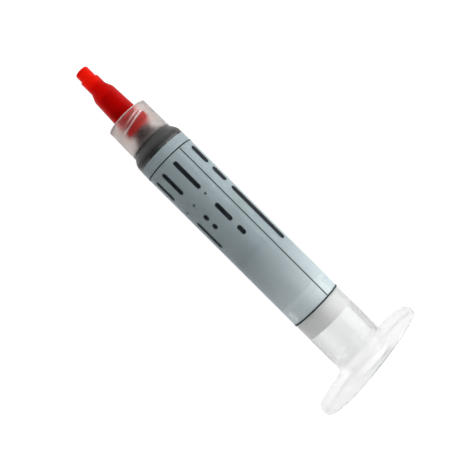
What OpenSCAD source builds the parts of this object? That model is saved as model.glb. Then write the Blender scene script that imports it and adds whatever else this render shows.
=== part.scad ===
// Prefilled dispensing syringe for solder paste: a barrel with a screw collar, a tip cap, a piston and its fill.
// The barrel lies along X with its tip towards -X. The origin is the centre of the flange's back face.
// Distances along the barrel are measured forward from that face.

/* [Barrel] */
// Outside diameter of the tube
tube_d = 11.6; // [10.4:0.1:13]
// Thickness of the tube's wall
tube_wall = 1.0; // [0.8:0.05:1.2]
// Length from the flange's back face to the start of the shoulder
tube_l = 60.7; // [56:0.05:75]
// Length of the rounded shoulder between tube and collar
shoulder_l = 2.15; // [1.4:0.05:2.6]
// Bevel inside the open rear end
rear_bevel = 0.35; // [0.1:0.05:0.5]

/* [Flange] */
// Length of the oval flange, across the barrel
flange_l = 31.8; // [26:0.1:38]
// Width of the flange at its middle
flange_w = 16.4; // [14.4:0.1:20]
// Thickness of the flange
flange_t = 2.5; // [1.6:0.1:3.2]
// Radius of the flange's two ends
flange_end_r = 6.0; // [4.5:0.1:7]
// Radius of the hollow fillet between flange and tube
flange_fillet = 1.9; // [0.5:0.1:2.5]

/* [Collar and nozzle] */
// Length of the screw collar in front of the shoulder
collar_l = 7.55; // [7:0.05:9]
// Outside diameter of the collar at the shoulder
collar_d = 9.8; // [9.4:0.05:10.2]
// Outside diameter of the collar at its mouth
collar_mouth_d = 9.6; // [9.2:0.05:9.8]
// Diameter inside the collar, at the root of its thread
collar_bore_d = 8.0; // [7.9:0.05:8.1]
// Bevel inside the collar's mouth
collar_bevel = 0.2; // [0.1:0.05:0.3]
// Radius of the collar's outer edge at the mouth
collar_edge_r = 0.35; // [0.1:0.05:0.4]
// How far the nozzle stands out of the collar
nozzle_out = 2.1; // [1.5:0.1:3]
// Outside diameter of the nozzle at its tip
nozzle_tip_d = 3.96; // [3.9:0.01:4.02]
// Growth in diameter for each millimetre along the nozzle
nozzle_taper = 0.06; // [0.05:0.005:0.07]
// Diameter of the duct at the nozzle's tip
duct_tip_d = 2.2; // [1.6:0.1:2.4]
// Diameter of the duct where the inner cone ends
duct_root_d = 2.6; // [2.4:0.1:2.8]
// Distance from the start of the shoulder to the inner cone
cone_inset = 0.7; // [0.4:0.05:1]
// Length of the inner cone
cone_l = 4.0; // [3.4:0.1:4.6]
// Thickness of the cone's wall, measured along the barrel
cone_wall = 1.3; // [1:0.05:1.5]

/* [Tip cap] */
// How far the cap's hub reaches into the collar
cap_in = 4.2; // [3.4:0.1:5]
// Length of the hub in front of the collar
hub_out = 6.5; // [4:0.1:8]
// Diameter of the hub at its lugs
hub_back_d = 6.0; // [5.5:0.05:6.2]
// Diameter of the hub at its front
hub_front_d = 5.05; // [4.6:0.05:5.2]
// Length of the cone between hub and neck
flare_l = 1.6; // [1:0.05:2.5]
// Diameter of the neck
neck_d = 3.7; // [3.2:0.05:4]
// Length of the neck at its middle
neck_l = 2.7; // [1.5:0.05:4]
// Slope of the neck's end
neck_slope = 15; // [0:1:25]
// Diameter of the peg
peg_d = 3.05; // [2.2:0.05:3.2]
// Length of the peg in front of the neck
peg_l = 2.35; // [1.5:0.05:4]
// Radius of the peg's end edge
peg_edge_r = 0.3; // [0.1:0.05:0.5]
// Diameter over the two lugs
lug_d = 7.7; // [7.4:0.05:7.75]
// Distance from the hub's back edge to the lugs
lug_inset = 0.2; // [0.1:0.05:0.4]
// Length of a lug at its root
lug_l = 2.3; // [1.5:0.1:2.8]
// Length of the slope on a lug's front
lug_slope_l = 0.8; // [0.3:0.05:1]
// Angle that a lug covers
lug_angle = 110; // [60:5:140]
// Number of lugs
lug_count = 2; // [2:1:2]
// Turn of the cap about the barrel's axis
cap_turn = 230; // [0:1:360]
// Wall of the hub in front of the nozzle
hub_wall = 0.95; // [0.7:0.05:1.2]
// Thickness of the hub's closed front
hub_end = 0.6; // [0.4:0.05:1]
// Gap between the nozzle's tip and the step in the socket
socket_end_gap = 0.5; // [0.3:0.1:1]

/* [Piston] */
// Distance from the flange's back face to the piston's rear edge
piston_back = 12.1; // [2:0.1:30]
// Length of the piston's skirt, without its nose
skirt_l = 8.35; // [7:0.05:10]
// Width of the front wiping lip
front_lip_l = 1.1; // [0.8:0.05:1.6]
// Width of the rear wiping lip
rear_lip_l = 1.5; // [1:0.05:2]
// Depth of the relief between the two lips
lip_relief = 0.4; // [0.2:0.05:0.6]
// Length of the slope beside each lip
lip_slope_l = 0.5; // [0.3:0.05:0.8]
// Thickness of the skirt behind the lips
skirt_wall = 0.95; // [0.7:0.05:1.1]
// Thickness of the nose, measured along the barrel
nose_wall = 1.5; // [1.2:0.1:2]
// Diameter of the flat on the nose
nose_tip_d = 2.4; // [2:0.1:3]

/* [Label] */
// Distance from the flange's back face to the label's rear edge
label_back = 16.2; // [14:0.1:25]
// Bare stretch of tube between the label and the shoulder
label_front_gap = 0.55; // [0.4:0.05:4]
// Thickness of the label
label_t = 0.1; // [0.06:0.01:0.15]
// Angle round the tube that the label covers
label_wrap = 336; // [200:2:350]
// Place of the middle of the label's seam, as an angle about the barrel's axis
label_seam = 150; // [0:1:360]

/* [Fill] */
// Distance from the nozzle's tip to the paste
paste_front_gap = 0.3; // [0.1:0.1:2]

/* [Clearances] */
// Radial gap between the piston's lips and the tube
piston_gap = 0.05; // [0.02:0.01:0.08]
// Radial gap between the nozzle and the cap's socket
luer_gap = 0.04; // [0.02:0.01:0.08]
// Gap between the paste and what it touches
paste_gap = 0.02; // [0.01:0.01:0.05]

/* [Hidden] */
$fn = 128;
// How far a cutting shape runs past the surface that it cuts
over = 0.5;
// Steps in a drawn arc
arc_steps = 8;

tube_r = tube_d / 2;
bore_r = tube_r - tube_wall;
collar_r = collar_d / 2;
collar_bore_r = collar_bore_d / 2;
shoulder_drop = tube_r - collar_r;
shoulder_r = (pow(shoulder_l, 2) + pow(shoulder_drop, 2)) / (2 * shoulder_drop);
shoulder_end = tube_l + shoulder_l;
mouth = shoulder_end + collar_l;
nozzle_end = mouth + nozzle_out;
duct_root_r = duct_root_d / 2;
cone_back = tube_l + cone_inset;
cone_end = cone_back + cone_l;
// Length of the inner cone for each millimetre of radius
cone_slope = cone_l / (bore_r - duct_root_r);
socket_floor = cone_back + (bore_r - collar_bore_r) * cone_slope + cone_wall;
// Where the outer cone has come down to the nozzle's own taper
nozzle_root = (cone_back + cone_wall + (bore_r - nozzle_tip_d / 2 - nozzle_end * nozzle_taper / 2) * cone_slope)
    / (1 - cone_slope * nozzle_taper / 2);
hub_back = mouth - cap_in;
hub_front = mouth + hub_out;
neck_back = hub_front + flare_l;
neck_front = neck_back + neck_l;
neck_rise = neck_d / 2 * tan(neck_slope);
cap_front = neck_front + peg_l;
lip_r = bore_r - piston_gap;
piston_front = piston_back + skirt_l;
nose_tip_r = nose_tip_d / 2;
nose_end = piston_front + (lip_r - nose_tip_r) * cone_slope;
hollow_r = lip_r - lip_relief - skirt_wall;

// Radius of the nozzle at a distance from the flange's back face
function nozzle_r(s) = nozzle_tip_d / 2 + (nozzle_end - s) * nozzle_taper / 2;

// Points of an arc from angle a to angle b
function arc(x, y, r, a, b) = [for (i = [0 : arc_steps]) let (t = a + (b - a) * i / arc_steps)
    [x + r * cos(t), y + r * sin(t)]];

// Lays what is drawn upright along the barrel, with its top towards the tip
module forward() {
    rotate([0, -90, 0]) children();
}

// A full turn of an outline of [radius, distance forward] points
module turned(outline) {
    forward() rotate_extrude() polygon(outline);
}

// Part of a turn of such an outline, from angle start
module part_turned(outline, start, sweep) {
    forward() rotate([0, 0, start]) rotate_extrude(angle = sweep) polygon(outline);
}

// A quarter of the flange's oval outline: a side arc run smoothly into an end arc
function flange_quarter(x_sign, y_sign) =
    let (
        end_y = flange_l / 2 - flange_end_r,
        half_w = flange_w / 2,
        side_r = (pow(end_y, 2) + pow(half_w, 2) - pow(flange_end_r, 2)) / (flange_w - 2 * flange_end_r),
        meet = atan2(end_y, side_r - half_w),
        points = concat(
            arc(half_w - side_r, 0, side_r, 0, meet),
            arc(0, end_y, flange_end_r, meet, 90)
        )
    )
    [for (p = points) [x_sign * p[0], y_sign * p[1]]];

function reversed(list) = [for (i = [len(list) - 1 : -1 : 0]) list[i]];

module flange_outline() {
    polygon(concat(
        flange_quarter(1, 1),
        reversed(flange_quarter(-1, 1)),
        flange_quarter(-1, -1),
        reversed(flange_quarter(1, -1))
    ));
}

// The flange with its hollow fillet, kept inside the flange's outline
module flange() {
    forward() linear_extrude(flange_t) flange_outline();
    intersection() {
        forward() linear_extrude(flange_t + flange_fillet) flange_outline();
        turned(concat(
            [[0, 0], [tube_r + flange_fillet, 0]],
            arc(tube_r + flange_fillet, flange_t + flange_fillet, flange_fillet, 270, 180),
            [[0, flange_t + flange_fillet]]
        ));
    }
}

// Tube, shoulder, collar and nozzle as one solid turned shape
module barrel_outside() {
    turned(concat(
        [[0, 0], [tube_r, 0]],
        arc(tube_r - shoulder_r, tube_l, shoulder_r, 0, asin(shoulder_l / shoulder_r)),
        arc(collar_mouth_d / 2 - collar_edge_r, mouth - collar_edge_r, collar_edge_r, 0, 90),
        [[nozzle_r(mouth), mouth], [nozzle_r(nozzle_end), nozzle_end], [0, nozzle_end]]
    ));
}

// The space inside the tube, cone and duct, from the rear mouth to the nozzle's tip
module barrel_bore() {
    turned([
        [0, -over], [bore_r + rear_bevel + over, -over],
        [bore_r, rear_bevel], [bore_r, cone_back],
        [duct_root_r, cone_end], [duct_tip_d / 2, nozzle_end], [duct_tip_d / 2, nozzle_end + over],
        [0, nozzle_end + over]
    ]);
}

// The ring-shaped space between nozzle and collar
module collar_socket() {
    turned([
        [nozzle_r(mouth + over), mouth + over], [nozzle_r(nozzle_root), nozzle_root],
        [collar_bore_r, socket_floor], [collar_bore_r, mouth - collar_bevel],
        [collar_bore_r + collar_bevel + over, mouth + over]
    ]);
}

module barrel() {
    color([0.88, 0.90, 0.90, 0.6]) difference() {
        union() {
            barrel_outside();
            flange();
        }
        barrel_bore();
        collar_socket();
    }
}

// Hub, flare and neck of the cap as one turned shape, with the neck cut off on a slope
module cap_hub() {
    neck_top = neck_front + neck_rise + over;
    difference() {
        turned([
            [0, hub_back], [hub_back_d / 2, hub_back], [hub_front_d / 2, hub_front],
            [neck_d / 2, neck_back], [neck_d / 2, neck_top], [0, neck_top]
        ]);
        forward() translate([0, 0, neck_front]) rotate([0, neck_slope, cap_turn + 180])
            translate([-neck_d, -neck_d, 0]) cube(2 * neck_d);
    }
}

// The peg, rooted inside the neck
module cap_peg() {
    turned(concat(
        [[0, neck_back], [peg_d / 2, neck_back]],
        arc(peg_d / 2 - peg_edge_r, cap_front - peg_edge_r, peg_edge_r, 0, 90),
        [[0, cap_front]]
    ));
}

// Lugs that turn in the collar's thread
module cap_lugs() {
    root_r = hub_front_d / 2;
    lug_back = hub_back + lug_inset;
    for (i = [0 : lug_count - 1])
        part_turned([
            [root_r, lug_back], [lug_d / 2, lug_back],
            [lug_d / 2, lug_back + lug_l - lug_slope_l], [root_r, lug_back + lug_l]
        ], cap_turn + 90 - lug_angle / 2 + 360 * i / lug_count, lug_angle);
}

// The tapered socket over the nozzle and the hollow in front of it
module cap_socket() {
    step = nozzle_end + socket_end_gap;
    hollow_end = hub_front - hub_end;
    turned([
        [0, hub_back - over], [nozzle_r(hub_back - over) + luer_gap, hub_back - over],
        [nozzle_r(step) + luer_gap, step], [hub_front_d / 2 - hub_wall, step],
        [hub_front_d / 2 - hub_wall, hollow_end], [0, hollow_end]
    ]);
}

module tip_cap() {
    color([0.80, 0.05, 0.03]) difference() {
        union() {
            cap_hub();
            cap_peg();
            cap_lugs();
        }
        cap_socket();
    }
}

module label() {
    label_front = tube_l - label_front_gap;
    color([0.62, 0.68, 0.71]) part_turned([
        [tube_r, label_back], [tube_r + label_t, label_back],
        [tube_r + label_t, label_front], [tube_r, label_front]
    ], label_seam + (360 - label_wrap) / 2, label_wrap);
}

// The fill, from the piston's nose to just inside the nozzle's tip
module solder_paste() {
    paste_r = bore_r - paste_gap;
    duct_r = duct_tip_d / 2 - paste_gap;
    paste_front = nozzle_end - paste_front_gap;
    color([0.22, 0.24, 0.25]) turned([
        [0, nose_end + paste_gap], [nose_tip_r, nose_end + paste_gap],
        [paste_r, piston_front - (paste_r - lip_r) * cone_slope + paste_gap],
        [paste_r, cone_back], [duct_root_r - paste_gap, cone_end],
        [duct_r, paste_front], [0, paste_front]
    ]);
}

module piston() {
    relief_r = lip_r - lip_relief;
    front_lip = piston_front - front_lip_l;
    rear_lip = piston_back + rear_lip_l;
    nose_back = nose_end - nose_wall;
    hollow_front = nose_back - (hollow_r - nose_tip_r) * cone_slope;
    color([0.93, 0.94, 0.93]) turned([
        [0, nose_end], [nose_tip_r, nose_end], [lip_r, piston_front],
        [lip_r, front_lip], [relief_r, front_lip - lip_slope_l],
        [relief_r, rear_lip + lip_slope_l], [lip_r, rear_lip], [lip_r, piston_back],
        [hollow_r, piston_back], [hollow_r, hollow_front],
        [nose_tip_r, nose_back], [0, nose_back]
    ]);
}

barrel();
tip_cap();
label();
solder_paste();
piston();
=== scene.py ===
import math

import bmesh
import bpy
from mathutils import Matrix, Vector


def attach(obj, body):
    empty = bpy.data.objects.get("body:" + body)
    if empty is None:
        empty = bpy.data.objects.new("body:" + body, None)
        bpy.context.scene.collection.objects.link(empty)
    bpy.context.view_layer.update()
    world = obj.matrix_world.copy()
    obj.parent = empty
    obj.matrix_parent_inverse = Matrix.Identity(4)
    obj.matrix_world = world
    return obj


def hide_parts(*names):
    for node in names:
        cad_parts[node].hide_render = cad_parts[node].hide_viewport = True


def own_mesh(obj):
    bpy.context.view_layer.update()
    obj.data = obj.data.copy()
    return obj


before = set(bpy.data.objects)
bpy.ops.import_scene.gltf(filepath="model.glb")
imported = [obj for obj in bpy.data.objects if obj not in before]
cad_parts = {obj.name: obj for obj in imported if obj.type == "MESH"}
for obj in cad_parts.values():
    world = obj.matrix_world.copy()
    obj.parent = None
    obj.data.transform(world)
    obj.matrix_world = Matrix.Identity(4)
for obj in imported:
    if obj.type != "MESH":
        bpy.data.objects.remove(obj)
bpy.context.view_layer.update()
MM = 0.001
scene = bpy.context.scene


# View
# The syringe lies on its flange and is seen from above its near side, square to the barrel. The picture is
# turned so that the tip points to the upper left, and a small lens shift sets the barrel in the frame.
VIEW_SIDE = math.radians(39.5)
VIEW_FOOT = Vector((-34.66 * MM, 0, 0))
VIEW_DISTANCE = 186.0 * MM
VIEW_ROLL = math.radians(44.9)
PICTURE_SIZE = 452
FOCAL_PIXELS = 917
SHIFT_PIXELS = (-25.7, 15.4)
SENSOR = 36.0

along = Vector((1, 0, 0))
to_camera = Vector((0, -math.sin(VIEW_SIDE), math.cos(VIEW_SIDE)))
upward = Vector((0, math.cos(VIEW_SIDE), math.sin(VIEW_SIDE)))
picture_right = along * math.cos(VIEW_ROLL) + upward * math.sin(VIEW_ROLL)
picture_up = upward * math.cos(VIEW_ROLL) - along * math.sin(VIEW_ROLL)
lens = bpy.data.cameras.new("camera")
lens.sensor_width = SENSOR
lens.lens = SENSOR * FOCAL_PIXELS / PICTURE_SIZE
lens.shift_x, lens.shift_y = (pixels / PICTURE_SIZE for pixels in SHIFT_PIXELS)
lens.clip_start = 0.01
lens.clip_end = 20
camera = bpy.data.objects.new("camera", lens)
turned = Matrix((picture_right, picture_up, to_camera)).transposed().to_4x4()
camera.matrix_world = Matrix.Translation(VIEW_FOOT + to_camera * VIEW_DISTANCE) @ turned
scene.collection.objects.link(camera)
scene.camera = camera


# Barrel
# One moulding in natural polypropylene: oval flange, tube, rounded shoulder, and a screw collar round a
# tapered nozzle. It is clear where thin, milky where thick and hazy where rough. Distances run forward from
# the flange's back, angles from the top towards the viewer's side.
TUBE_R = 5.8
BORE_R = 4.8
TUBE_L = 60.7
SHOULDER_L = 2.15
SHOULDER_FILLET = 0.6
REAR_BEVEL = 0.35
FLANGE_HALF_L = 15.9
FLANGE_HALF_W = 8.2
FLANGE_T = 2.5
FLANGE_END_R = 6.0
FLANGE_FILLET = 1.9
FLANGE_BACK_EDGE_R = 0.4
FLANGE_FRONT_EDGE_R = 1.1
FLANGE_LAND = 0.05
COLLAR_R = 4.9
COLLAR_MOUTH_R = 4.8
COLLAR_BORE_R = 4.0
COLLAR_BEVEL = 0.2
COLLAR_EDGE_R = 0.15
MOUTH = 70.4
NOZZLE_END = 72.5
NOZZLE_TIP_R = 1.98
NOZZLE_GROWTH = 0.03
NOZZLE_ROOT = 65.54
NOZZLE_EDGE = 0.15
DUCT_TIP_R = 1.1
DUCT_ROOT_R = 1.3
SOCKET_FLOOR = 63.61
CONE_BACK = 61.4
CONE_END = 65.4
THREAD_LEAD = 5.0
THREAD_STARTS = 2
THREAD_HEIGHT = 0.5
THREAD_CREST = 0.5
THREAD_FLANK = 0.3
THREAD_PLACE = 68.5
THREAD_BACK = 67.0
THREAD_FADE = 0.7
THREAD_STEP = 0.05
BARREL_TURNS = 192
SMOOTH_ANGLE = math.radians(32)
FACE_TOLERANCE = 0.01
# Painted shade on the shoulder: its colour is darkened towards the label's front edge, darkest at the start.
PAINTED_SHADE_START = 61.2
PAINTED_SHADE_GONE = 62.0
SHADED_SHOULDER_END = 64.2
PAINTED_SHADE_DARKEST = 0.4
SHOULDER_COLOUR = (0.95, 0.93, 0.91)
NATURAL_IOR = 1.49
FLOW_STRETCH = (120.0, 420.0, 420.0)
SKIN_SCALE = 2600.0
SKIN_SHARE = 0.35


def arc(radius, distance, size, start, stop, steps=6):
    """Points of an arc, as (radius, distance) pairs."""
    turns = [math.radians(start + (stop - start) * i / steps) for i in range(steps + 1)]
    return [(radius + size * math.cos(t), distance + size * math.sin(t)) for t in turns]


def between(first, last, steps):
    """Points that divide a straight run, without its ends."""
    return [
        (first[0] + (last[0] - first[0]) * i / steps, first[1] + (last[1] - first[1]) * i / steps)
        for i in range(1, steps)
    ]


def spot(radius, distance, angle):
    """The place in space of a point at a radius, a distance forward and an angle round the axis."""
    return (-distance * MM, -radius * MM * math.sin(angle), radius * MM * math.cos(angle))


def finished_piece(name, body, smooth_angle=SMOOTH_ANGLE):
    """Closes a bmesh into a named object with outward faces and crisp edges."""
    bmesh.ops.remove_doubles(body, verts=body.verts, dist=1e-4 * MM)
    bmesh.ops.recalc_face_normals(body, faces=body.faces)
    mesh = bpy.data.meshes.new(name)
    body.to_mesh(mesh)
    body.free()
    mesh.shade_smooth()
    mesh.set_sharp_from_angle(angle=smooth_angle)
    piece = bpy.data.objects.new(name, mesh)
    scene.collection.objects.link(piece)
    return piece


def lofted(name, path, turns, closed=True):
    """A piece swept about the axis, where path(angle) gives its outline; a turned piece ignores the angle."""
    body = bmesh.new()
    angles = [2 * math.pi * i / turns for i in range(turns)]
    rows = [[body.verts.new(spot(r, s, angle)) for r, s in path(angle)] for angle in angles]
    count = len(rows[0])
    for i, row in enumerate(rows):
        after = rows[(i + 1) % turns]
        for j in range(count if closed else count - 1):
            k = (j + 1) % count
            body.faces.new((row[j], row[k], after[k], after[j]))
    return finished_piece(name, body)


def flange_radius(angle):
    """Distance from the axis to the flange's oval outline, where side arcs run smoothly into end arcs."""
    x, y = abs(math.cos(angle)), abs(math.sin(angle))
    end_y = FLANGE_HALF_L - FLANGE_END_R
    side_r = (end_y**2 + FLANGE_HALF_W**2 - FLANGE_END_R**2) / (2 * (FLANGE_HALF_W - FLANGE_END_R))
    side_x = FLANGE_HALF_W - side_r
    side = side_x * x + math.sqrt((side_x * x) ** 2 - side_x**2 + side_r**2)
    if side * y * -side_x <= end_y * (side * x - side_x):
        return side
    return end_y * y + math.sqrt((end_y * y) ** 2 - end_y**2 + FLANGE_END_R**2)


def nozzle_radius(distance):
    return NOZZLE_TIP_R + (NOZZLE_END - distance) * NOZZLE_GROWTH


def barrel_path(angle):
    rim = flange_radius(angle)
    fillet_r = TUBE_R + FLANGE_FILLET
    fillet_end = FLANGE_T + FLANGE_FILLET
    back_rim = rim - FLANGE_BACK_EDGE_R
    front_edge_r = min(FLANGE_FRONT_EDGE_R, rim - fillet_r - FLANGE_LAND)
    front_rim = rim - front_edge_r
    path = [(BORE_R + REAR_BEVEL, 0)] + between((BORE_R + REAR_BEVEL, 0), (back_rim, 0), 6)
    path += arc(back_rim, FLANGE_BACK_EDGE_R, FLANGE_BACK_EDGE_R, 270, 360)
    path += arc(front_rim, FLANGE_T - front_edge_r, front_edge_r, 0, 90, 8)
    path += between((front_rim, FLANGE_T), (fillet_r, FLANGE_T), 4)
    path += arc(fillet_r, fillet_end, FLANGE_FILLET, 270, 180, 10)
    path += between((TUBE_R, fillet_end), (TUBE_R, TUBE_L), 12)
    shoulder_drop = TUBE_R - COLLAR_R
    shoulder_r = (SHOULDER_L**2 + shoulder_drop**2) / (2 * shoulder_drop)
    foot_in = COLLAR_R + SHOULDER_FILLET - TUBE_R + shoulder_r
    foot_along = math.sqrt((shoulder_r + SHOULDER_FILLET) ** 2 - foot_in**2)
    shoulder_turn = math.degrees(math.atan2(foot_along, foot_in))
    path += arc(TUBE_R - shoulder_r, TUBE_L, shoulder_r, 0, shoulder_turn, 10)
    foot_r, foot_middle = COLLAR_R + SHOULDER_FILLET, TUBE_L + foot_along
    path += arc(foot_r, foot_middle, SHOULDER_FILLET, 180 + shoulder_turn, 180, 6)[1:]
    path += arc(COLLAR_MOUTH_R - COLLAR_EDGE_R, MOUTH - COLLAR_EDGE_R, COLLAR_EDGE_R, 0, 90)
    path += [(COLLAR_BORE_R + COLLAR_BEVEL, MOUTH), (COLLAR_BORE_R, MOUTH - COLLAR_BEVEL)]
    steps = round((MOUTH - COLLAR_BEVEL - SOCKET_FLOOR) / THREAD_STEP)
    path += between(path[-1], (COLLAR_BORE_R, SOCKET_FLOOR), steps) + [(COLLAR_BORE_R, SOCKET_FLOOR)]
    path += [(nozzle_radius(NOZZLE_ROOT), NOZZLE_ROOT), (nozzle_radius(MOUTH), MOUTH)]
    path += [(NOZZLE_TIP_R, NOZZLE_END - NOZZLE_EDGE), (NOZZLE_TIP_R - NOZZLE_EDGE, NOZZLE_END)]
    path += [(DUCT_TIP_R, NOZZLE_END), (DUCT_ROOT_R, CONE_END), (BORE_R, CONE_BACK)]
    return path + between((BORE_R, CONE_BACK), (BORE_R, REAR_BEVEL), 12) + [(BORE_R, REAR_BEVEL)]


def wired(tree, kind, *feeds, **settings):
    """A new node with its settings made and its inputs fed in order; None leaves an input as it is."""
    node = tree.nodes.new(kind)
    for name, value in settings.items():
        setattr(node, name, value)
    for socket, feed in zip(node.inputs, feeds):
        if isinstance(feed, bpy.types.NodeSocket):
            tree.links.new(feed, socket)
        elif feed is not None:
            socket.default_value = feed
    return node


def reckon(tree, operation, *feeds, clamp=False):
    return wired(tree, "ShaderNodeMath", *feeds, operation=operation, use_clamp=clamp).outputs[0]


def new_group(name, kind, inputs, outputs):
    """A group with inputs of name: (socket kind, value). Gives it, its inputs by name and its outlet."""
    group = bpy.data.node_groups.new(name, kind)
    for socket, (socket_kind, value) in inputs.items():
        made = group.interface.new_socket(name=socket, in_out="INPUT", socket_type=socket_kind)
        if value is not None:
            made.default_value = value
    for socket, socket_kind in outputs.items():
        group.interface.new_socket(name=socket, in_out="OUTPUT", socket_type=socket_kind)
    entry = group.nodes.new("NodeGroupInput")
    given = {socket.name: socket for socket in entry.outputs if socket.name}
    return group, given, group.nodes.new("NodeGroupOutput")


def thread_tree():
    """Geometry Nodes that draw the two-start inner thread out of the collar's plain wall."""
    sizes = {
        "Pitch": THREAD_LEAD / THREAD_STARTS, "Height": THREAD_HEIGHT, "Crest": THREAD_CREST,
        "Flank": THREAD_FLANK, "Place": THREAD_PLACE, "Floor": THREAD_BACK, "Mouth": MOUTH - COLLAR_BEVEL,
        "Fade": THREAD_FADE, "Wall": COLLAR_BORE_R,
    }
    inputs = {"Geometry": ("NodeSocketGeometry", None), "Material": ("NodeSocketMaterial", None)}
    inputs |= {name: ("NodeSocketFloat", 0.0) for name in sizes}
    outputs = {"Geometry": "NodeSocketGeometry"}
    tree, given, leave = new_group("collar_thread", "GeometryNodeTree", inputs, outputs)
    position = tree.nodes.new("GeometryNodeInputPosition").outputs[0]
    place = wired(tree, "ShaderNodeSeparateXYZ", position).outputs
    squares = [reckon(tree, "MULTIPLY", place[i], place[i]) for i in (1, 2)]
    radius = reckon(tree, "SQRT", reckon(tree, "ADD", *squares))
    distance = reckon(tree, "MULTIPLY", place[0], -1 / MM)
    angle = reckon(tree, "ARCTAN2", reckon(tree, "MULTIPLY", place[1], -1.0), place[2])
    turn = reckon(tree, "MULTIPLY", reckon(tree, "SUBTRACT", VIEW_SIDE, angle), THREAD_STARTS / (2 * math.pi))
    rise = reckon(tree, "DIVIDE", reckon(tree, "SUBTRACT", distance, given["Place"]), given["Pitch"])
    off_rib = reckon(tree, "MULTIPLY", reckon(tree, "PINGPONG", reckon(tree, "SUBTRACT", rise, turn), 0.5),
                     given["Pitch"])
    off_crest = reckon(tree, "SUBTRACT", off_rib, reckon(tree, "DIVIDE", given["Crest"], 2.0))
    height = reckon(tree, "SUBTRACT", 1.0, reckon(tree, "DIVIDE", off_crest, given["Flank"]), clamp=True)
    off_floor = reckon(tree, "SUBTRACT", reckon(tree, "SUBTRACT", distance, given["Floor"]), given["Flank"])
    off_mouth = reckon(tree, "SUBTRACT", given["Mouth"], distance)
    run_out = reckon(tree, "DIVIDE", reckon(tree, "MINIMUM", off_floor, off_mouth), given["Fade"], clamp=True)
    inward = reckon(tree, "MULTIPLY", reckon(tree, "MULTIPLY", height, run_out),
                    reckon(tree, "MULTIPLY", given["Height"], -MM))
    push = [reckon(tree, "MULTIPLY", inward, reckon(tree, "DIVIDE", place[i], radius)) for i in (1, 2)]
    offset = wired(tree, "ShaderNodeCombineXYZ", 0.0, *push).outputs[0]
    on_wall = reckon(tree, "COMPARE", reckon(tree, "DIVIDE", radius, MM), given["Wall"], FACE_TOLERANCE)
    in_collar = reckon(tree, "GREATER_THAN", off_floor, 0.0)
    moved = wired(tree, "GeometryNodeSetPosition", given["Geometry"],
                  reckon(tree, "MULTIPLY", on_wall, in_collar), None, offset)
    real = wired(tree, "GeometryNodeRealizeInstances", moved.outputs[0])
    coated = wired(tree, "GeometryNodeSetMaterial", real.outputs[0], None, given["Material"])
    tree.links.new(coated.outputs[0], leave.inputs[0])
    return tree, sizes


def shaped_by(piece, tree, values):
    """Runs a piece through a Geometry Nodes tree and keeps the result as its plain mesh."""
    modifier = piece.modifiers.new(tree.name, "NODES")
    modifier.node_group = tree
    for item in tree.interface.items_tree:
        if item.in_out == "INPUT" and item.name in values:
            modifier[item.identifier] = values[item.name]
    bpy.context.view_layer.update()
    evaluated = piece.evaluated_get(bpy.context.evaluated_depsgraph_get())
    made = bpy.data.meshes.new_from_object(evaluated)
    piece.modifiers.remove(modifier)
    piece.data = made
    made.set_sharp_from_angle(angle=SMOOTH_ANGLE)


def new_material(name, **values):
    """A material with its shader's sockets set; gives the material, its tree and its shader."""
    material = bpy.data.materials.new(name)
    material.use_nodes = True
    shader = material.node_tree.nodes["Principled BSDF"]
    for socket, value in values.items():
        shader.inputs[socket.replace("_", " ")].default_value = value
    return material, material.node_tree, shader


def moulding_marks():
    """Node group for the soft mottling, flow lines and fine skin that moulding leaves on plastic."""
    number = "NodeSocketFloat"
    inputs = {"Mottle": (number, 0.04), "Roughness": (number, 0.3), "Roughness Change": (number, 0.1)}
    outputs = {"Tone": number, "Roughness": number, "Height": number}
    group, given, leave = new_group("moulding_marks", "ShaderNodeTree", inputs, outputs)
    place = group.nodes.new("ShaderNodeTexCoord").outputs["Object"]
    drawn = wired(group, "ShaderNodeMapping", place, None, None, FLOW_STRETCH).outputs[0]
    cloud = wired(group, "ShaderNodeTexNoise", drawn, None, 1.0, 3.0, 0.5).outputs[0]
    skin = wired(group, "ShaderNodeTexNoise", place, None, SKIN_SCALE, 2.0, 0.6).outputs[0]
    centred = reckon(group, "SUBTRACT", cloud, 0.5)
    tone = reckon(group, "MULTIPLY_ADD", centred, given["Mottle"], 1.0)
    rough = reckon(group, "MULTIPLY_ADD", centred, given["Roughness Change"], given["Roughness"])
    height = reckon(group, "MULTIPLY_ADD", skin, SKIN_SHARE, cloud)
    for socket, feed in zip(leave.inputs, (tone, rough, height)):
        group.links.new(feed, socket)
    return group


MARKS = moulding_marks()


def mark(tree, shader, colour, mottle, rough, rough_change, depth):
    """Feeds a shader's colour, roughness and relief from the moulding marks; the depth is in millimetres."""
    marks = wired(tree, "ShaderNodeGroup", node_tree=MARKS)
    for socket, value in zip(marks.inputs, (mottle, rough, rough_change)):
        socket.default_value = value
    tint = wired(tree, "ShaderNodeVectorMath", colour, operation="SCALE")
    tree.links.new(marks.outputs["Tone"], tint.inputs["Scale"])
    tree.links.new(tint.outputs[0], shader.inputs["Base Color"])
    tree.links.new(marks.outputs["Roughness"], shader.inputs["Roughness"])
    raise_skin(tree, shader, marks.outputs["Height"], depth)


def raise_skin(tree, shader, height, depth):
    bump = tree.nodes.new("ShaderNodeBump")
    bump.inputs["Distance"].default_value = depth * MM
    tree.links.new(height, bump.inputs["Height"])
    tree.links.new(bump.outputs[0], shader.inputs["Normal"])


def fit(piece, body, node):
    """Sets a piece on its body, in the place of a CAD node, which it hides."""
    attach(piece, body)
    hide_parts(node)


def object_place(tree):
    """A point's place on the piece, in metres."""
    return tree.nodes.new("ShaderNodeTexCoord").outputs["Object"]


def forward_distance(tree, place):
    """Distance forward from the flange's back, in millimetres."""
    return reckon(tree, "MULTIPLY", wired(tree, "ShaderNodeSeparateXYZ", place).outputs[0], -1 / MM)


def ranged(tree, value, *limits):
    """A value carried over from one range to another, and held at its ends."""
    return wired(tree, "ShaderNodeMapRange", value, *limits).outputs[0]


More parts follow.
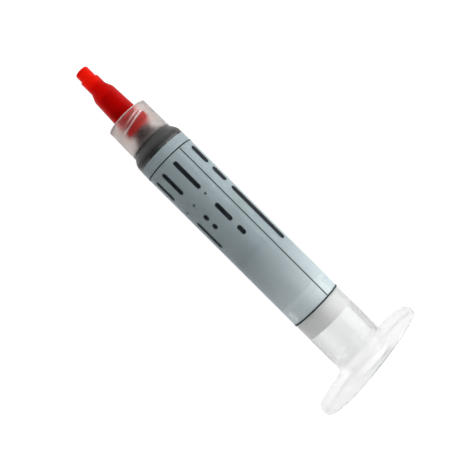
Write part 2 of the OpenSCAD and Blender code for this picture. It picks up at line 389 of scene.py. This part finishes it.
def natural_plastic(name, clearness, shine=1.0, cover=1.0):
    """A grade of natural polypropylene, which looks less clear the thicker and rougher it is moulded."""
    tint = (shine, shine, shine, 1)
    return new_material(name, IOR=NATURAL_IOR, Transmission_Weight=clearness, Alpha=cover, Specular_Tint=tint)


clear_plastic, tree, shader = natural_plastic("natural_polypropylene", 0.992)
mark(tree, shader, (0.975, 0.985, 0.98), mottle=0.03, rough=0.17, rough_change=0.08, depth=0.001)
milky_plastic, tree, shader = natural_plastic("natural_polypropylene_thick", 0.92, shine=0.2, cover=0.4)
mark(tree, shader, (0.98, 0.985, 0.985), mottle=0.03, rough=0.38, rough_change=0.15, depth=0.02)
hazy_plastic, tree, shader = natural_plastic("natural_polypropylene_collar", 0.985, shine=0.35)
mark(tree, shader, (0.945, 0.895, 0.865), mottle=0.05, rough=0.4, rough_change=0.12, depth=0.004)
# The shoulder's plastic carries painted shade, so it is darker towards the label's front edge.
shoulder_plastic, tree, shader = natural_plastic("natural_polypropylene_shoulder", 0.94, shine=0.4)
distance = forward_distance(tree, object_place(tree))
painted_shade = ranged(tree, distance, PAINTED_SHADE_START, PAINTED_SHADE_GONE, PAINTED_SHADE_DARKEST, 1.0)
shaded_colour = wired(tree, "ShaderNodeVectorMath", SHOULDER_COLOUR, painted_shade, operation="MULTIPLY").outputs[0]
mark(tree, shader, shaded_colour, mottle=0.05, rough=0.42, rough_change=0.12, depth=0.004)
mouth_plastic, tree, shader = natural_plastic("natural_polypropylene_mouth", 0.5)
mark(tree, shader, (0.97, 0.95, 0.94), mottle=0.05, rough=0.45, rough_change=0.12, depth=0.004)
barrel = lofted("moulded_barrel", barrel_path, BARREL_TURNS)
tree, sizes = thread_tree()
shaped_by(barrel, tree, sizes | {"Material": clear_plastic})
for plastic in (milky_plastic, hazy_plastic, shoulder_plastic, mouth_plastic):
    barrel.data.materials.append(plastic)
CLEAR, MILKY, HAZY, SHADED_SHOULDER, AT_MOUTH = range(5)
for polygon in barrel.data.polygons:
    distance, radius = -polygon.center.x / MM, polygon.center.yz.length / MM
    if distance < FLANGE_T + FLANGE_FILLET:
        on_rim = FACE_TOLERANCE < distance < FLANGE_BACK_EDGE_R
        polygon.material_index = CLEAR if on_rim else MILKY
    elif MOUTH - COLLAR_BEVEL < distance < MOUTH + FACE_TOLERANCE and radius > COLLAR_BORE_R:
        polygon.material_index = AT_MOUTH
    elif PAINTED_SHADE_START < distance < SHADED_SHOULDER_END:
        polygon.material_index = SHADED_SHOULDER
    elif distance > TUBE_L:
        polygon.material_index = HAZY
fit(barrel, "barrel", "barrel")


# Piston
# The white polyethylene wiper piston, moulded in one piece: two sealing lips on a thin skirt, a pointed nose
# that fits the barrel's cone, and a hollow back. It slides in the bore behind the paste, with its wet lips
# pressed a hair into the wall.
PISTON_BACK = 12.1
PISTON_FRONT = 20.45
LIP_R = 4.83
RELIEF_R = 4.45
HOLLOW_R = 3.4
FRONT_LIP = 1.1
REAR_LIP = 4.4
LIP_SLOPE = 0.5
NOSE_TIP_R = 1.2
NOSE_SLOPE = (CONE_END - CONE_BACK) / (BORE_R - DUCT_ROOT_R)
NOSE_END = PISTON_FRONT + (LIP_R - NOSE_TIP_R) * NOSE_SLOPE
NOSE_WALL = 1.5
NOSE_FLAT = 0.6
NOSE_EDGE_R = 0.3
NOSE_EDGE_INSET = 0.25
NOSE_LEAN = 41
LIP_BEVEL_IN = 0.12
LIP_BEVEL_ALONG = 0.1
LIP_BEVEL_START = 0.05
LIP_EDGE_IN = 0.08
LIP_EDGE_ALONG = 0.06
LIP_EDGE_START = 0.1
PISTON_EDGE_R = 0.15
TURNED_STEPS = 128


def piston_path(angle):
    nose_back = NOSE_END - NOSE_WALL
    hollow_front = nose_back - (HOLLOW_R - NOSE_TIP_R) * NOSE_SLOPE
    rear_lip = PISTON_BACK + REAR_LIP
    front_lip = PISTON_FRONT - FRONT_LIP
    path = [(0, NOSE_END), (NOSE_TIP_R * NOSE_FLAT, NOSE_END)]
    path += arc(NOSE_TIP_R - NOSE_EDGE_INSET, NOSE_END - NOSE_EDGE_R, NOSE_EDGE_R, 90, NOSE_LEAN, 4)
    path += [(LIP_R - LIP_BEVEL_IN, PISTON_FRONT + LIP_BEVEL_ALONG), (LIP_R, PISTON_FRONT - LIP_BEVEL_START)]
    path += [(LIP_R, front_lip + LIP_EDGE_START), (LIP_R - LIP_EDGE_IN, front_lip - LIP_EDGE_ALONG)]
    path += [(RELIEF_R, front_lip - LIP_SLOPE), (RELIEF_R, rear_lip + LIP_SLOPE)]
    path += [(LIP_R - LIP_EDGE_IN, rear_lip + LIP_EDGE_ALONG), (LIP_R, rear_lip - LIP_EDGE_START)]
    path += arc(LIP_R - PISTON_EDGE_R, PISTON_BACK + PISTON_EDGE_R, PISTON_EDGE_R, 360, 270, 4)
    path += arc(HOLLOW_R + PISTON_EDGE_R, PISTON_BACK + PISTON_EDGE_R, PISTON_EDGE_R, 270, 180, 4)
    return path + [(HOLLOW_R, hollow_front), (NOSE_TIP_R, nose_back), (0, nose_back)]


white_plastic, tree, shader = new_material("white_polyethylene")
mark(tree, shader, (0.985, 0.99, 0.985), mottle=0.03, rough=0.42, rough_change=0.1, depth=0.01)
piston = lofted("wiper_piston", piston_path, TURNED_STEPS, closed=False)
piston.data.materials.append(white_plastic)
fit(piston, "piston", "piston")


# Solder paste
# Fine grey metal powder in a sticky flux, filled into the barrel in front of the piston. It wets the wall, so
# it sits a hair inside the plastic, and its colour turns pale in streaks towards the back. The column
# shortens as the piston moves; the cone and duct in front stay full.
PASTE_R = 4.83
PASTE_FRONT = 72.2
PASTE_NOSE_GAP = 0.02
PASTE_RIM_GAP = 0.05
PASTE_TIP_IN = 0.1
PASTE_TIP_ALONG = 0.15
PASTE_SHADE = (0.007, 0.010, 0.011, 1)
PASTE_LIGHT = (0.013, 0.018, 0.021, 1)
PALE_REAR_COLOUR = (0.80, 0.81, 0.82, 1)
PALE_REAR_START = 33.0
PALE_REAR_FULL = 20.5
PASTE_ROUGHNESS = (0.4, 0.6)
PASTE_RELIEF = 0.02
GRAIN_SCALE = 9000.0
GRAIN_SHARE = 0.5
SMEAR_STRETCH = (90.0, 260.0, 260.0)
PALE_STREAKS = (0.5, 0.75)
NOISE_RANGE = (0.3, 0.7)


def column_path(angle):
    rim = (PASTE_R, PISTON_FRONT - (PASTE_R - LIP_R) * NOSE_SLOPE + PASTE_RIM_GAP)
    path = [(0, NOSE_END + PASTE_NOSE_GAP), (NOSE_TIP_R, NOSE_END + PASTE_NOSE_GAP), rim]
    return path + between(rim, (PASTE_R, CONE_BACK), 12) + [(PASTE_R, CONE_BACK), (0, CONE_BACK)]


def paste_tip_path(angle):
    skin = PASTE_R - BORE_R
    return [
        (0, CONE_BACK), (PASTE_R, CONE_BACK), (DUCT_ROOT_R + skin, CONE_END),
        (DUCT_TIP_R + skin, PASTE_FRONT - PASTE_TIP_ALONG), (DUCT_TIP_R - PASTE_TIP_IN, PASTE_FRONT),
        (0, PASTE_FRONT)]


def mixed(tree, share, first, second):
    """A colour between two others, each of them fixed or fed."""
    skipped = [None] * 5
    return wired(tree, "ShaderNodeMix", share, *skipped, first, second, data_type="RGBA").outputs[2]


paste, tree, shader = new_material("solder_paste", Specular_IOR_Level=0.1)
place = object_place(tree)
grain = wired(tree, "ShaderNodeTexNoise", place, None, GRAIN_SCALE, 2.0, 0.6).outputs[0]
drawn = wired(tree, "ShaderNodeMapping", place, None, None, SMEAR_STRETCH).outputs[0]
smear = wired(tree, "ShaderNodeTexNoise", drawn, None, 1.0, 4.0, 0.55).outputs[0]
# Towards the back the paste's colour turns pale in streaks.
rear = ranged(tree, forward_distance(tree, place), PALE_REAR_START, PALE_REAR_FULL, 0.0, 1.0)
paler = reckon(tree, "MULTIPLY", rear, reckon(tree, "MULTIPLY_ADD", smear, *PALE_STREAKS), clamp=True)
grey = mixed(tree, ranged(tree, smear, *NOISE_RANGE, 0.0, 1.0), PASTE_SHADE, PASTE_LIGHT)
tree.links.new(mixed(tree, paler, grey, PALE_REAR_COLOUR), shader.inputs["Base Color"])
tree.links.new(ranged(tree, smear, *NOISE_RANGE, *PASTE_ROUGHNESS), shader.inputs["Roughness"])
raise_skin(tree, shader, reckon(tree, "MULTIPLY_ADD", grain, GRAIN_SHARE, smear), PASTE_RELIEF)
column = lofted("paste_column", column_path, TURNED_STEPS, closed=False)
tip_paste = lofted("paste_in_nozzle", paste_tip_path, TURNED_STEPS, closed=False)
for piece in (column, tip_paste):
    piece.data.materials.append(paste)
    fit(piece, "barrel", "solder_paste")
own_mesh(column)


# Label
# A thin silver grey film, wrapped round the tube and stuck down, with a gap at its seam. It is see-through
# enough for the dark paste and the white piston to show. Its print is a frame of thin rules and plain bars.
LABEL_BACK = 16.2
LABEL_FRONT = 60.15
LABEL_IN_R = 5.83
LABEL_OUT_R = 5.9
LABEL_WRAP = math.radians(336)
LABEL_SEAM = math.radians(210)
LABEL_TURNS = 168
LABEL_STEPS = 60
FILM_COLOUR = (0.785, 0.945, 1.0)
FILM_COVER = 0.211
FILM_COVER_CHANGE = 0.04
FILM_TINT_CHANGE = (0.94, 1.05)
FILM_ROUGHNESS = (0.42, 0.55)
FILM_RELIEF = 0.01
CLOUD_SCALE = 160.0
CLOUD_SHARE = 3.0
FIBRE_SCALE = 3500.0
INK_WEAR_RANGE = (0.25, 0.45)
INK_WORN = 0.9
INK_COLOUR = (0.003, 0.006, 0.008, 1)
INK_EDGE = 0.06
FRONT_RULE = 57.95
FRONT_RULE_WIDTH = 0.27
REAR_RULE = 16.4
REAR_RULE_WIDTH = 0.34
SIDE_RULE = 8.5
SIDE_RULE_WIDTH = 0.24
LINE_HEIGHT = 0.95
HEADING_HEIGHT = 1.5
DOT = 0.5
BARS = (
    (-20.5, HEADING_HEIGHT, ((52.0, 56.6), (46.9, 50.7), (30.6, 45.3))),
    (37.0, LINE_HEIGHT, ((49.2, 56.5), (40.4, 45.0), (36.6, 38.8))),
    (70.5, LINE_HEIGHT, ((50.8, 56.5), (43.6, 45.0), (41.2, 42.5))),
    (99.5, LINE_HEIGHT, ((51.3, 56.4), (38.0, 44.9))),
    (37.0, DOT, ((47.5, 48.0),)),
    (70.5, DOT, ((47.5, 48.0),)),
    (99.5, DOT, ((47.5, 48.0),)),
)


def film_strip():
    """The film as a closed thin shell, open at its seam."""
    body = bmesh.new()
    start = LABEL_SEAM + (2 * math.pi - LABEL_WRAP) / 2
    step = (LABEL_FRONT - LABEL_BACK) / LABEL_STEPS
    inner, outer = (
        [
            [body.verts.new(spot(radius, LABEL_BACK + step * j, start + LABEL_WRAP * i / LABEL_TURNS))
             for j in range(LABEL_STEPS + 1)]
            for i in range(LABEL_TURNS + 1)
        ]
        for radius in (LABEL_IN_R, LABEL_OUT_R)
    )
    for rows in (inner, outer):
        for i in range(LABEL_TURNS):
            for j in range(LABEL_STEPS):
                body.faces.new((rows[i][j], rows[i][j + 1], rows[i + 1][j + 1], rows[i + 1][j]))
    for j in (0, LABEL_STEPS):
        for i in range(LABEL_TURNS):
            body.faces.new((inner[i][j], inner[i + 1][j], outer[i + 1][j], outer[i][j]))
    for i in (0, LABEL_TURNS):
        for j in range(LABEL_STEPS):
            body.faces.new((inner[i][j], inner[i][j + 1], outer[i][j + 1], outer[i][j]))
    return finished_piece("wrapped_label", body)


def printed_bar():
    """Node group for one round-ended bar of print; everything is in millimetres on the unrolled film."""
    number = "NodeSocketFloat"
    inputs = {name: (number, 0.0) for name in ("Distance", "Round", "From", "To", "Middle", "Width")}
    group, given, leave = new_group("printed_bar", "ShaderNodeTree", inputs, {"Ink": number})
    half = reckon(group, "DIVIDE", given["Width"], 2.0)
    before = reckon(group, "SUBTRACT", reckon(group, "ADD", given["From"], half), given["Distance"])
    past = reckon(group, "SUBTRACT", given["Distance"], reckon(group, "SUBTRACT", given["To"], half))
    out = reckon(group, "MAXIMUM", reckon(group, "MAXIMUM", before, past), 0.0)
    aside = reckon(group, "SUBTRACT", given["Round"], given["Middle"])
    squares = [reckon(group, "MULTIPLY", run, run) for run in (out, aside)]
    span = reckon(group, "SQRT", reckon(group, "ADD", *squares))
    ink = reckon(group, "DIVIDE", reckon(group, "SUBTRACT", half, span), INK_EDGE)
    group.links.new(reckon(group, "ADD", ink, 0.5, clamp=True), leave.inputs[0])
    return group


film, tree, shader = new_material("label_film", IOR=1.45, Specular_IOR_Level=0.12)
place = object_place(tree)
parts = wired(tree, "ShaderNodeSeparateXYZ", place).outputs
distance = forward_distance(tree, place)
angle = reckon(tree, "ARCTAN2", reckon(tree, "MULTIPLY", parts[1], -1.0), parts[2])
around = reckon(tree, "MULTIPLY", angle, LABEL_OUT_R)
bar_group = printed_bar()


def bar_ink(start, stop, degrees, width):
    bar = wired(tree, "ShaderNodeGroup", node_tree=bar_group)
    middle = math.radians(degrees) * LABEL_OUT_R
    for socket, value in zip(bar.inputs[2:], (start, stop, middle, width)):
        socket.default_value = value
    tree.links.new(distance, bar.inputs[0])
    tree.links.new(around, bar.inputs[1])
    return bar.outputs[0]


def ring_ink(middle, width):
    off = reckon(tree, "ABSOLUTE", reckon(tree, "SUBTRACT", distance, middle))
    edge = reckon(tree, "DIVIDE", reckon(tree, "SUBTRACT", width / 2, off), INK_EDGE)
    return reckon(tree, "ADD", edge, 0.5, clamp=True)


ink = reckon(tree, "MAXIMUM", ring_ink(FRONT_RULE, FRONT_RULE_WIDTH), ring_ink(REAR_RULE, REAR_RULE_WIDTH))
ink = reckon(tree, "MAXIMUM", ink, bar_ink(REAR_RULE, FRONT_RULE, SIDE_RULE, SIDE_RULE_WIDTH))
for degrees, height, runs in BARS:
    for start, stop in runs:
        ink = reckon(tree, "MAXIMUM", ink, bar_ink(start, stop, degrees, height))
cloud = wired(tree, "ShaderNodeTexNoise", place, None, CLOUD_SCALE, 4.0, 0.55).outputs[0]
fibre = wired(tree, "ShaderNodeTexNoise", place, None, FIBRE_SCALE, 2.0, 0.6).outputs[0]
ink = reckon(tree, "MULTIPLY", ink, ranged(tree, fibre, *INK_WEAR_RANGE, INK_WORN, 1.0))
tint = wired(tree, "ShaderNodeVectorMath", FILM_COLOUR, operation="SCALE")
tree.links.new(ranged(tree, cloud, *NOISE_RANGE, *FILM_TINT_CHANGE), tint.inputs["Scale"])
tree.links.new(mixed(tree, ink, tint.outputs[0], INK_COLOUR), shader.inputs["Base Color"])
cover = reckon(tree, "MULTIPLY_ADD", cloud, FILM_COVER_CHANGE, FILM_COVER - FILM_COVER_CHANGE / 2)
tree.links.new(reckon(tree, "MAXIMUM", cover, ink), shader.inputs["Alpha"])
tree.links.new(ranged(tree, fibre, *NOISE_RANGE, *FILM_ROUGHNESS), shader.inputs["Roughness"])
raise_skin(tree, shader, reckon(tree, "MULTIPLY_ADD", cloud, CLOUD_SHARE, fibre), FILM_RELIEF)
label = film_strip()
label.data.materials.append(film)
fit(label, "barrel", "label")


# Tip cap
# The red polyethylene cap that closes the nozzle: a hollow tapered hub with two lugs wound to turn in the
# collar's thread, a short flare, a neck cut off on a slope, and a solid peg to grip it by. Its red is deep
# along the hub. A painted glow makes it brighter at the peg and inside the collar, where the lugs are, for
# light through the thin plastic, and some light comes through the hub's hollow back.
HUB_BACK = 66.2
HUB_FRONT = 76.9
NECK_BACK = 78.5
NECK_FRONT = 81.2
CAP_FRONT = 83.55
HUB_BACK_R = 3.0
HUB_FRONT_R = 2.525
NECK_R = 1.85
PEG_R = 1.525
PEG_EDGE_R = 0.35
NECK_EDGE_R = 0.2
CAP_EDGE_R = 0.2
NECK_SLOPE = math.tan(math.radians(15))
LUER_GAP = 0.04
SOCKET_STEP = 73.0
SOCKET_END = 76.3
SOCKET_FRONT_R = 1.575
LUG_R = 4.03
LUG_INSET = 0.05
LUG_WIDTH = 1.95
LUG_MIDDLE = 68.3
LUG_SWEEP = math.radians(104)
LUG_TURN = math.radians(32)
LUG_STEPS = 36
LUG_TAPER_START = 1 / 3
LUG_EDGE = 0.15
LUG_BACK_BEVEL = 0.2
LUG_FRONT_SLOPE = 0.45
LUG_FRONT_EDGE = 0.25
HUB_MOUTH_BEVEL = 0.15
FLARE_BACK_BEND = ((0.02, -0.25), (-0.03, 0.08))
FLARE_FRONT_BEND = ((0.05, -0.12), (0, 0.15))
PEG_FOOT = 0.08
SLOPE_TURN = math.radians(130)
RED_IOR = 1.2
RED_SHINE = (0.1, 0.03, 0.02, 1)
DEEP_RED = (0.66, 0.003, 0.002, 1)
# Painted glow: a brighter red that stands in for light coming through the thin plastic.
PAINTED_GLOW_RED = (0.97, 0.012, 0.004, 1)
PEG_GLOW = (78.8, 80.4)
COLLAR_GLOW = (71.2, 70.2)
THICK_OVERLAP = 0.1


def cap_path(angle):
    lean = math.cos(angle - SLOPE_TURN) * NECK_SLOPE
    neck_top = [
        (NECK_R - NECK_EDGE_R * (1 - math.sin(t)),
         NECK_FRONT + lean * NECK_R - NECK_EDGE_R * (1 - math.cos(t)))
        for t in (math.pi / 2 * (1 - i / 4) for i in range(5))
    ]
    path = [(0, SOCKET_END), (SOCKET_FRONT_R, SOCKET_END), (SOCKET_FRONT_R, SOCKET_STEP)]
    path += [(nozzle_radius(SOCKET_STEP) + LUER_GAP, SOCKET_STEP)]
    back_r = nozzle_radius(HUB_BACK)
    path += [(back_r + LUER_GAP, HUB_BACK + HUB_MOUTH_BEVEL), (back_r + HUB_MOUTH_BEVEL, HUB_BACK)]
    path += arc(HUB_BACK_R - CAP_EDGE_R, HUB_BACK + CAP_EDGE_R, CAP_EDGE_R, 270, 360, 4)
    step_r = HUB_BACK_R + (HUB_FRONT_R - HUB_BACK_R) * (SOCKET_STEP - HUB_BACK) / (HUB_FRONT - HUB_BACK)
    path += [(step_r, SOCKET_STEP)] + [(HUB_FRONT_R + r, HUB_FRONT + s) for r, s in FLARE_BACK_BEND]
    path += [(NECK_R + r, NECK_BACK + s) for r, s in FLARE_FRONT_BEND]
    path += between(path[-1], neck_top[0], 4) + neck_top
    foot = NECK_FRONT + lean * PEG_R
    path += [(PEG_R + PEG_FOOT, foot), (PEG_R, foot + PEG_FOOT)]
    return path + arc(PEG_R - PEG_EDGE_R, CAP_FRONT - PEG_EDGE_R, PEG_EDGE_R, 0, 90, 5) + [(0, CAP_FRONT)]


def wound_lug():
    """One lug, wound along the thread's lead at the turn of zero, with its root sunk into the hub."""
    body = bmesh.new()
    rows = []
    for i in range(LUG_STEPS + 1):
        turn = (i / LUG_STEPS - 0.5) * LUG_SWEEP
        front = LUG_MIDDLE - THREAD_LEAD * turn / (2 * math.pi)
        back = max(front - LUG_WIDTH, HUB_BACK + LUG_INSET)
        past = max(0.0, (abs(turn) / LUG_SWEEP - LUG_TAPER_START) / (0.5 - LUG_TAPER_START))
        top = HUB_BACK_R + (LUG_R - HUB_BACK_R) * math.sqrt(1 - min(past, 1.0) ** 2)
        profile = [
            (HUB_FRONT_R, back), (top - LUG_EDGE, back), (top, back + LUG_BACK_BEVEL),
            (top, front - LUG_FRONT_SLOPE), (top - LUG_EDGE, front - LUG_FRONT_EDGE), (HUB_FRONT_R, front)]
        rows.append([body.verts.new(spot(r, s, turn)) for r, s in profile])
    for first, second in zip(rows, rows[1:]):
        for j, k in zip(range(6), (1, 2, 3, 4, 5, 0)):
            body.faces.new((first[j], first[k], second[k], second[j]))
    body.faces.new(rows[0])
    body.faces.new(rows[-1])
    return finished_piece("cap_lug", body)


def lugs_tree(lug):
    """Geometry Nodes that set equal lugs round the hub."""
    inputs = {
        "Geometry": ("NodeSocketGeometry", None), "Material": ("NodeSocketMaterial", None),
        "Count": ("NodeSocketInt", THREAD_STARTS), "Turn": ("NodeSocketFloat", 0.0)}
    tree, given, leave = new_group("cap_lugs", "GeometryNodeTree", inputs, {"Geometry": "NodeSocketGeometry"})
    points = wired(tree, "GeometryNodePoints", given["Count"])
    index = tree.nodes.new("GeometryNodeInputIndex").outputs[0]
    step = reckon(tree, "DIVIDE", 2 * math.pi, given["Count"])
    turn = reckon(tree, "MULTIPLY_ADD", index, step, given["Turn"])
    spin = wired(tree, "ShaderNodeCombineXYZ", turn, 0.0, 0.0)
    source = wired(tree, "GeometryNodeObjectInfo", lug)
    spread = wired(tree, "GeometryNodeInstanceOnPoints", points.outputs[0], None, source.outputs["Geometry"])
    tree.links.new(spin.outputs[0], spread.inputs["Rotation"])
    both = tree.nodes.new("GeometryNodeJoinGeometry")
    tree.links.new(spread.outputs[0], both.inputs[0])
    tree.links.new(given["Geometry"], both.inputs[0])
    real = wired(tree, "GeometryNodeRealizeInstances", both.outputs[0])
    coated = wired(tree, "GeometryNodeSetMaterial", real.outputs[0], None, given["Material"])
    tree.links.new(coated.outputs[0], leave.inputs[0])
    return tree


red_plastic, tree, shader = new_material(
    "red_polyethylene", IOR=RED_IOR, Specular_Tint=RED_SHINE, Transmission_Weight=0.6)
thick_red, thick_tree, thick_shader = new_material(
    "red_polyethylene_thick", IOR=RED_IOR, Specular_Tint=RED_SHINE)
for tree, shader in ((tree, shader), (thick_tree, thick_shader)):
    distance = forward_distance(tree, object_place(tree))
    # Painted glow: the red turns brighter towards the peg and inside the collar.
    peg_glowing, in_collar = (ranged(tree, distance, *limits, 0.0, 1.0) for limits in (PEG_GLOW, COLLAR_GLOW))
    tone = mixed(tree, reckon(tree, "MAXIMUM", peg_glowing, in_collar), DEEP_RED, PAINTED_GLOW_RED)
    mark(tree, shader, tone, mottle=0.08, rough=0.3, rough_change=0.12, depth=0.008)
cap = lofted("screwed_tip_cap", cap_path, TURNED_STEPS, closed=False)
lug = wound_lug()
shaped_by(cap, lugs_tree(lug), {"Material": red_plastic, "Count": THREAD_STARTS, "Turn": LUG_TURN})
bpy.data.objects.remove(lug)
cap.data.materials.append(thick_red)
for polygon in cap.data.polygons:
    if polygon.center.x > -(SOCKET_STEP - THICK_OVERLAP) * MM:
        polygon.material_index = 1
fit(cap, "tip_cap", "tip_cap")


# Studio
# A white table along the flange's low side and the front of the tube. It glows, so that no shadow shows, and
# is see-through from below. Two wide soft lamps stand over the far side, under a dim sky whose backdrop is
# white near the table and greyer overhead.
FLOOR_REACH = 3.0
FLOOR_GAP = 0.15
FLOOR_GLOW = 1.0
FLOOR_GLOW_THROUGH = 0.72
FLOOR_FILL = 0.45
FLOOR_PAINT = (0.12, 0.12, 0.12, 1)
SKY_STRENGTH = 0.22
BACKDROP_STRENGTH = 1.0
OVERHEAD_STRENGTH = 0.6
BACKDROP_RISE = (0.3, 0.8)
LAMP_DISTANCE = 0.6
LAMPS = {"high_lamp": (50, 1.43, 5.1), "low_lamp": (80, 1.0, 3.3)}

lean = math.atan2(FLANGE_HALF_W - TUBE_R, TUBE_L)
mesh = bpy.data.meshes.new("floor")
corners = [(x * FLOOR_REACH, y * FLOOR_REACH, 0) for x, y in ((-1, -1), (1, -1), (1, 1), (-1, 1))]
mesh.from_pydata(corners, [], [(0, 1, 2, 3)])
mesh.transform(Matrix.Translation((0, 0, -(FLANGE_HALF_W + FLOOR_GAP) * MM)) @ Matrix.Rotation(lean, 4, "Y"))
floor = bpy.data.objects.new("floor", mesh)
pale, tree, shader = new_material(
    "pale_floor", Base_Color=FLOOR_PAINT, Roughness=0.8, Specular_IOR_Level=0.0, Emission_Color=(1, 1, 1, 1))
ray = tree.nodes.new("ShaderNodeLightPath").outputs
glow = reckon(tree, "MULTIPLY_ADD", ray["Is Camera Ray"], FLOOR_GLOW - FLOOR_GLOW_THROUGH, FLOOR_GLOW_THROUGH)
glow = reckon(tree, "MULTIPLY_ADD", ray["Is Diffuse Ray"], FLOOR_FILL - FLOOR_GLOW_THROUGH, glow)
tree.links.new(glow, shader.inputs["Emission Strength"])
underside = tree.nodes.new("ShaderNodeNewGeometry").outputs["Backfacing"]
tree.links.new(reckon(tree, "SUBTRACT", 1.0, underside), shader.inputs["Alpha"])
mesh.materials.append(pale)
scene.collection.objects.link(floor)

for name, (side, width, power) in LAMPS.items():
    light = bpy.data.lights.new(name, "AREA")
    light.shape = "DISK"
    light.size = width
    light.energy = power
    lamp = bpy.data.objects.new(name, light)
    away = to_camera * math.cos(math.radians(side)) + upward * math.sin(math.radians(side))
    aim = away.to_track_quat("Z", "Y").to_matrix().to_4x4()
    lamp.matrix_world = Matrix.Translation(VIEW_FOOT + away * LAMP_DISTANCE) @ aim
    scene.collection.objects.link(lamp)
world = bpy.data.worlds.new("dim_sky")
world.use_nodes = True
sky = world.node_tree.nodes["Background"]
sky.inputs["Color"].default_value = (1, 1, 1, 1)
tree = world.node_tree
seen = tree.nodes.new("ShaderNodeLightPath").outputs["Is Camera Ray"]
heading = tree.nodes.new("ShaderNodeTexCoord").outputs["Generated"]
rise = wired(tree, "ShaderNodeSeparateXYZ", heading).outputs[2]
backdrop = ranged(tree, rise, *BACKDROP_RISE, BACKDROP_STRENGTH, OVERHEAD_STRENGTH)
extra = reckon(tree, "SUBTRACT", backdrop, SKY_STRENGTH)
tree.links.new(reckon(tree, "MULTIPLY_ADD", seen, extra, SKY_STRENGTH), sky.inputs["Strength"])
scene.world = world
scene.view_settings.view_transform = "Standard"
